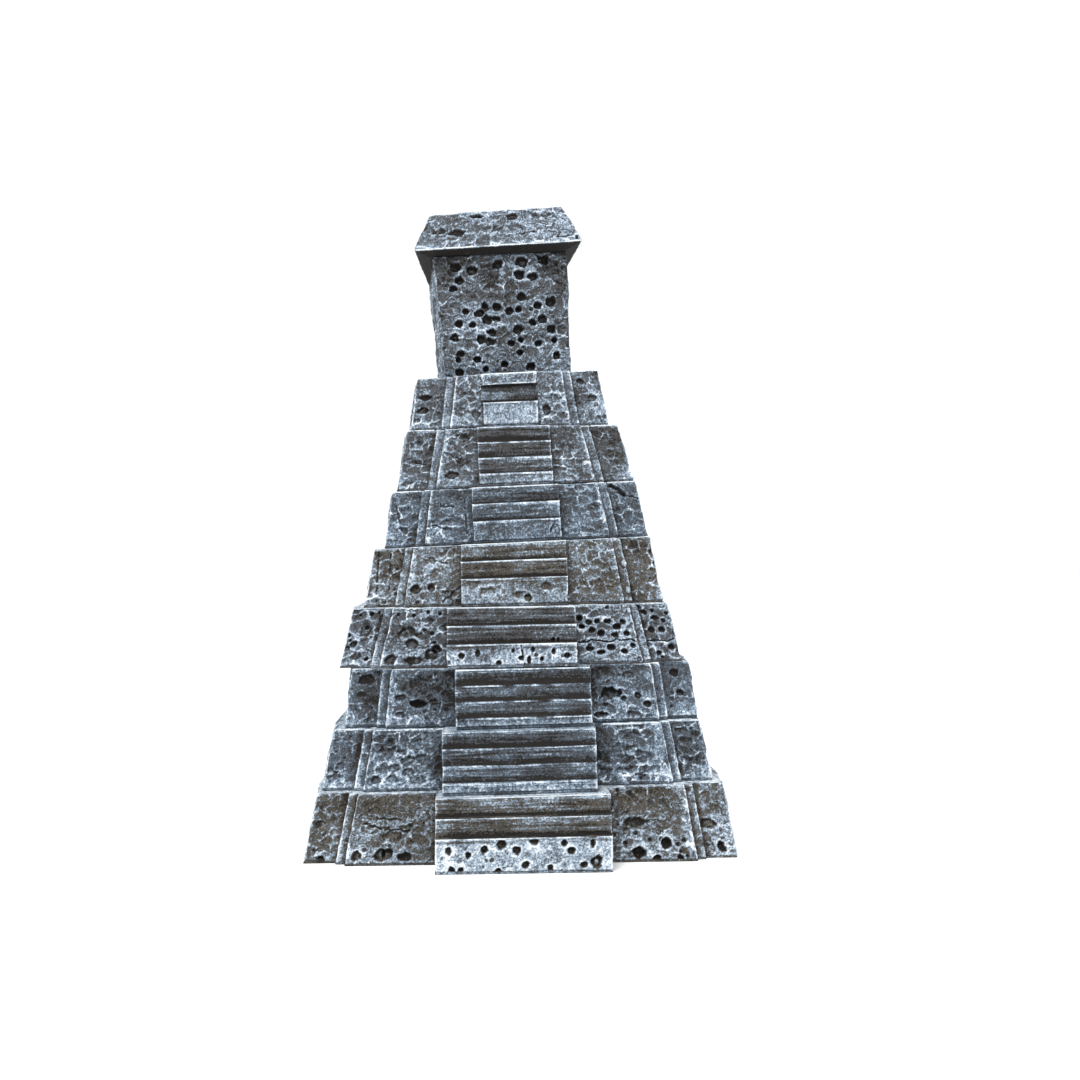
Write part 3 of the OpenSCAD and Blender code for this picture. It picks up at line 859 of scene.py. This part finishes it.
def make_tier(i):
    look = TIER_LOOK[i]
    cast = tier_casting(i)
    s, v, share, seed = cast.s, cast.v, cast.share, look["seed"]
    on_stair = blur_columns(1.0 * (cast.panel == STAIR)[None, :], 2)
    on_edge = blur_columns(1.0 * np.isin(cast.panel, (STRIP_L, STRIP_R, EDGE))[None, :], 2)
    nosings, coves = stair_bands(i)
    if not TREADS[i]:
        # The lintel over the sunk stair is dressed like the panel around it.
        on_stair = on_stair * ease((nosings[-1] + 0.6 - v) / 0.4)
    on_foot = on_stair * ease((nosings[0] - 0.5 - v) / 0.7)
    on_risers = on_stair - on_foot

    stony, taken = stone(cast, seed, look["scoop"], look["size"], look["ledge"], look["pit"])
    stony_share = (1 - on_stair) * (1 - 0.55 * on_edge) + 0.5 * on_foot
    relief = stony_share * stony
    relief += on_risers * riser_lines(cast, seed + 60, look["lines"])
    relief, dark = carve(cast, relief, look["dents"], seed + 80)
    relief = slash(cast, relief, look["cuts"], seed + 90)
    relief = np.minimum(relief, SKIN) - SKIN + sand(cast, seed + 70) + joint_groove(cast)
    relief = swell(cast, relief, look["knobs"])
    sculpt(cast, relief, look["soften"])

    brush_light_and_shade = look["tone"] + 0.22 * ripple(s / 14, v / 9, seed + 95)
    brush_light_and_shade -= 0.1 * share**3 + 0.12 * on_risers
    # Deep dents and pits are painted darker: their dark ground, with painted shade over it.
    brush_light_and_shade += look["web"] * stony_share * taken - PIT_GROUND_AND_SHADE * dark
    streaks = 0.7 + 0.5 * ripple(s / 0.7, v / 5, seed + 96)
    brush_light_and_shade += look["frost"] * streaks * ease(1.3 - share / 0.3) + look["foot"] * on_foot
    worn = ease(0.75 + 0.8 * ripple(s / 4, v / 9, seed + 97))
    worn_upright = ease(0.7 + 0.9 * ripple(s / 4, v / 5, seed + 99))
    worn_edges = PALE_ARRIS * worn_upright * cast.near_arris(0.5)
    worn_edges += PALE_RIM * np.exp(-((cast.tall - v) / 0.35) ** 2)
    brush_light_and_shade += cast.wall[:, None] * worn_edges
    brush_light_and_shade += PALE_STRIP * np.isin(cast.panel, (STRIP_L, STRIP_R))[None, :]
    # The foot of every wall is painted near-black: painted shade in the seam under the casting, over the
    # ground that the dry-brushing misses there.
    # The ledge tops are painted pale: heavier dry-brushing on the flat tops, and painted light that
    # makes them look lit from above.
    brush_light_and_shade += LEDGE_PAINT_AND_LIGHT * (v > cast.tall + 0.01) - SEAM_SHADE_AND_GROUND * np.exp(-(v / 0.5) ** 2)
    for level in nosings:
        near_nosing = on_stair * np.exp(-((v - level) / 0.32) ** 2)
        brush_light_and_shade += PALE_NOSING * look["steps"] * worn * near_nosing
    # Behind each nosing the cove is painted darker: painted shade in the concave corner.
    for level in coves:
        cove_shade_mask = on_stair * np.exp(-((v - level) / 0.7) ** 2)
        brush_light_and_shade -= COVE_SHADE * look["steps"] ** 1.5 * cove_shade_mask
    brush_light_and_shade = dab(cast, brush_light_and_shade, look["dabs"], seed + 98)
    finish_piece(cast, brush_light_and_shade, on_risers)


# ---------------------------------------------------------------- the shrine block
PIT_DEPTH, FRONT_PIT_DEPTH = 1.2, 1.4
# Pits pricked into its front: share of the width, share of the height, radius.
SHRINE_PITS = [
    (0.16, 0.91, 1.3), (0.28, 0.88, 1.3), (0.47, 0.92, 1.3), (0.65, 0.93, 1.5), (0.81, 0.95, 1.4),
    (0.18, 0.80, 1.2), (0.13, 0.74, 1.0), (0.63, 0.83, 1.3), (0.73, 0.81, 1.2), (0.64, 0.65, 1.2),
    (0.86, 0.60, 1.3), (0.76, 0.57, 1.1), (0.36, 0.58, 1.2), (0.45, 0.58, 1.1), (0.21, 0.55, 0.9),
    (0.31, 0.53, 1.2), (0.54, 0.54, 1.1), (0.61, 0.55, 0.9), (0.37, 0.48, 1.3), (0.44, 0.48, 1.0),
    (0.15, 0.45, 1.1), (0.25, 0.44, 0.9), (0.71, 0.44, 1.0), (0.79, 0.46, 1.2), (0.60, 0.39, 1.4),
    (0.86, 0.38, 1.2), (0.11, 0.34, 1.1), (0.31, 0.32, 1.3), (0.40, 0.37, 1.2), (0.38, 0.30, 1.2),
    (0.54, 0.28, 0.9), (0.62, 0.30, 0.8), (0.75, 0.27, 1.0), (0.88, 0.29, 0.8), (0.14, 0.21, 1.0),
    (0.12, 0.16, 0.8), (0.27, 0.16, 1.0), (0.60, 0.20, 0.9), (0.48, 0.11, 0.9), (0.33, 0.08, 0.8),
    (0.68, 0.08, 1.1), (0.12, 0.06, 1.1), (0.89, 0.16, 1.0),
]


def make_shrine():
    cast = plain_casting(SHRINE, [(SHRINE_FOOT / 2, 0), (SHRINE_HEAD / 2, SHRINE_HEIGHT)], CAP_RINGS)
    s, v, share, seed = cast.s, cast.v, cast.share, 909
    relief, taken = stone(cast, seed, 0.6, 3.3, 0.25, 0.3)
    # The other walls are pricked at random, as closely as the front.
    bend_s, bend_v = rough(s / 2, v / 2, seed + 1, 2), rough(s / 2, v / 2, seed + 3, 2)
    near, _, number, above = scatter(s / 3.6 + 0.2 * bend_s, v / 3.2 + 0.2 * bend_v, seed + 40)
    pricked = (number < 0.7) * ease((0.24 + 0.16 * number - near) / 0.08) * (1 + 0.6 * above)
    relief -= PIT_DEPTH * pricked * (cast.side != FRONT)
    relief, _ = carve(cast, relief, [
        (PANEL_L, 0.4, 0.83, 2.8, 3.4, 0.64), (PANEL_L, 0.85, 0.87, 2.6, 2.8, 0.64),
        (PANEL_L, 0.22, 0.66, 2.2, 1.6, 0.3), (PANEL_L, 0.92, 0.7, 1.6, 2.2, 0.4),
    ], seed + 80)
    pits = [(PANEL_L, across, up, radius, 0.9 * radius, FRONT_PIT_DEPTH)
            for across, up, radius in SHRINE_PITS]
    relief, dark = carve(cast, relief, pits, seed + 81)
    relief = np.minimum(relief, SKIN) - SKIN + sand(cast, seed + 70) + joint_groove(cast)
    sculpt(cast, relief, 3)
    # Deep pits are painted darker: their dark ground, with painted shade over it.
    brush_light_and_shade = 0.55 * taken - PIT_GROUND_AND_SHADE * dark + 0.2 * ripple(s / 12, v / 8, seed + 95)
    # The top tenth of the block is painted darker: painted shade under the eaves of the roof.
    brush_light_and_shade -= 0.3 * ease((share - 0.9) / 0.1)
    # The darker patches near the top, over the two big dents and at the upper left and right, are
    # painted shade under the eaves.
    brush_light_and_shade = dab(cast, brush_light_and_shade, [
        (PANEL_L, 0.4, 0.83, 2.0, 2.6, -0.4), (PANEL_L, 0.85, 0.87, 2.0, 2.2, -0.4),
        (PANEL_L, 0.06, 0.88, 2.5, 4.0, -0.35), (PANEL_L, 0.27, 0.4, 5.0, 6.0, 0.15),
        (PANEL_L, 0.75, 0.35, 4.0, 3.0, 0.15), (PANEL_L, 0.95, 0.75, 1.5, 3.0, -0.3),
        (PANEL_L, 0.3, 0.68, 2.5, 1.4, -0.25), (PANEL_L, 0.5, 0.8, 0.8, 3.0, 0.4),
        (PANEL_L, 0.6, 0.9, 1.5, 2.0, 0.25), (PANEL_L, 0.97, 0.5, 1.0, 9.0, 0.15),
    ], seed + 98)
    finish_piece(cast, brush_light_and_shade, 0 * s)


# ---------------------------------------------------------------- the roof slab
# Paler paint along the eaves edge, and painted shade on the underside of the eaves.
PALE_LIP, SOFFIT_SHADE = 0.6, 1.4
WORN_AWAY = 1.6  # how much of the left top edge is gone


def make_roof():
    inner = SHRINE_HEAD / 2
    section = [(inner, 0), (ROOF_EAVES / 2, EAVES_BEVEL), (ROOF_CROWN / 2, ROOF_HEIGHT)]
    rings = [0.3 * k for k in range(1, 44)]
    cast = plain_casting(ROOF, section, rings)
    back = (cast.points[1] + ROOF_EAVES / 2) / ROOF_EAVES
    above_bevel = np.clip(cast.points[2] / EAVES_BEVEL, 0, 1)
    cast.points[0] *= 1 - ROOF_TAPER / (ROOF_EAVES / 2) * back * above_bevel
    s, v, seed = cast.s, cast.v, 1010
    bevel = math.hypot(ROOF_EAVES / 2 - inner, EAVES_BEVEL)
    under = ease((bevel - 0.3 - v) / 0.5)
    stony, taken = stone(cast, seed, 0.45, 3.8, 0.3, 0.0)
    relief = (1 - 0.85 * under) * stony
    # The eaves are ragged where the mould was overfilled, and the left top edge is worn away.
    lip = np.exp(-((v - bevel) / 0.5) ** 2)
    relief += lip * 0.5 * np.minimum(rough(s / 2.5, v / 9, seed + 3, 3) - 0.2, 0)
    on_left = blur_columns(1.0 * (cast.side == LEFT)[None, :], 60)
    near_rim = ease((v / v[cast.wall].max() - 0.62) / 0.38) * ease(1.2 - cast.ring_inset / 4)[:, None]
    worn_left = on_left * near_rim
    relief -= WORN_AWAY * worn_left
    relief, dark = carve(cast, relief, [
        (PANEL_L, 0.12, 0.65, 1.5, 1.1, 0.6), (PANEL_L, 0.24, 0.6, 1.8, 1.1, 0.7),
        (PANEL_L, 0.36, 0.91, 2.0, 0.6, 0.8), (PANEL_L, 0.62, 0.85, 1.8, 1.0, 0.7),
        (PANEL_L, 0.47, 0.64, 2.2, 1.1, 0.4), (PANEL_L, 0.63, 0.62, 2.2, 1.6, 0.5),
        (PANEL_L, 0.78, 0.82, 1.2, 1.6, 0.6), (PANEL_L, 0.88, 0.78, 2.0, 1.9, 0.6),
        (PANEL_L, 0.985, 0.37, 0.6, 0.5, 1.5),
    ], seed + 80)
    relief = slash(cast, relief, [
        (PANEL_L, 0.64, 0.5, 0.74, 0.53, 0.25, 0.5), (PANEL_L, 0.86, 0.38, 0.95, 0.39, 0.25, 0.5),
        (PANEL_L, 0.82, 0.6, 0.83, 0.95, 0.2, 0.4),
    ], seed + 90)
    relief = np.minimum(relief, SKIN) - SKIN + sand(cast, seed + 70)
    sculpt(cast, relief, 2, on_caps=0.8)
    # Deep dents are painted darker: their dark ground, with painted shade over it.
    brush_light_and_shade = 0.25 + 0.6 * taken - PIT_GROUND_AND_SHADE * dark + 0.16 * ripple(s / 12, v / 8, seed + 95)
    # The underside of the eaves is painted dark: painted shade under the overhang. The lip is
    # dry-brushed paler.
    brush_light_and_shade += PALE_LIP * lip - SOFFIT_SHADE * under
    brush_light_and_shade = dab(cast, brush_light_and_shade, [
        (PANEL_L, 0.12, 0.66, 1.3, 1.0, -0.35), (PANEL_L, 0.24, 0.62, 1.5, 1.0, -0.4),
        (PANEL_L, 0.47, 0.65, 2.0, 1.0, -0.2), (PANEL_L, 0.9, 0.7, 4.0, 4.0, 0.15),
        (PANEL_L, 0.44, 0.88, 2.5, 1.2, 0.3),
    ], seed + 98)
    finish_piece(cast, brush_light_and_shade, 0 * s)


for place in range(TOP_TIER + 1):
    make_tier(place)
make_shrine()
make_roof()


# ---------------------------------------------------------------- stage, light and camera
FLOOR_HALF = 4.0
ON_THE_STACK = Vector((0, 0, 0.07))
SKY_STRENGTH = 1.06
# The camera stands a little left of the middle and looks nearly level.
CAMERA_SPOT = (-0.00965, -0.3106, 0.0712)
CAMERA_PITCH, CAMERA_YAW = math.radians(0.45), math.radians(-3.0)
SENSOR_WIDTH, LENS = 36, 38.0


def make_floor():
    material = bpy.data.materials.new("floor_white")
    shader = Nodes(material).shader
    shader.inputs["Base Color"].default_value = (0.95, 0.95, 0.95, 1)
    shader.inputs["Roughness"].default_value = 0.9
    mesh = bpy.data.meshes.new("floor_mesh")
    corners = [(x * FLOOR_HALF, y * FLOOR_HALF, 0) for x, y in ((-1, -1), (1, -1), (1, 1), (-1, 1))]
    mesh.from_pydata(corners, [], [(0, 1, 2, 3)])
    mesh.materials.append(material)
    floor = bpy.data.objects.new("floor", mesh)
    bpy.context.scene.collection.objects.link(floor)


def soft_light(name, spot, width, watts):
    data = bpy.data.lights.new(name, "AREA")
    data.shape, data.size, data.energy = "SQUARE", width, watts
    lamp = bpy.data.objects.new(name, data)
    lamp.location = spot
    lamp.rotation_euler = (ON_THE_STACK - Vector(spot)).to_track_quat("-Z", "Y").to_euler()
    bpy.context.scene.collection.objects.link(lamp)


make_floor()
soft_light("key", (-0.3, -0.5, 0.8), 0.4, 9)
soft_light("fill", (0.6, -0.5, 0.35), 0.5, 2)

world = bpy.data.worlds.new("studio")
world.use_nodes = True
world.node_tree.nodes["Background"].inputs["Color"].default_value = (1, 1, 1, 1)
world.node_tree.nodes["Background"].inputs["Strength"].default_value = SKY_STRENGTH
bpy.context.scene.world = world
bpy.context.scene.view_settings.view_transform = "Standard"

camera = bpy.data.objects.new("camera", bpy.data.cameras.new("camera"))
camera.location = CAMERA_SPOT
camera.rotation_euler = (math.pi / 2 + CAMERA_PITCH, 0, CAMERA_YAW)
camera.data.sensor_width = SENSOR_WIDTH
camera.data.lens = LENS
bpy.context.scene.collection.objects.link(camera)
bpy.context.scene.camera = camera
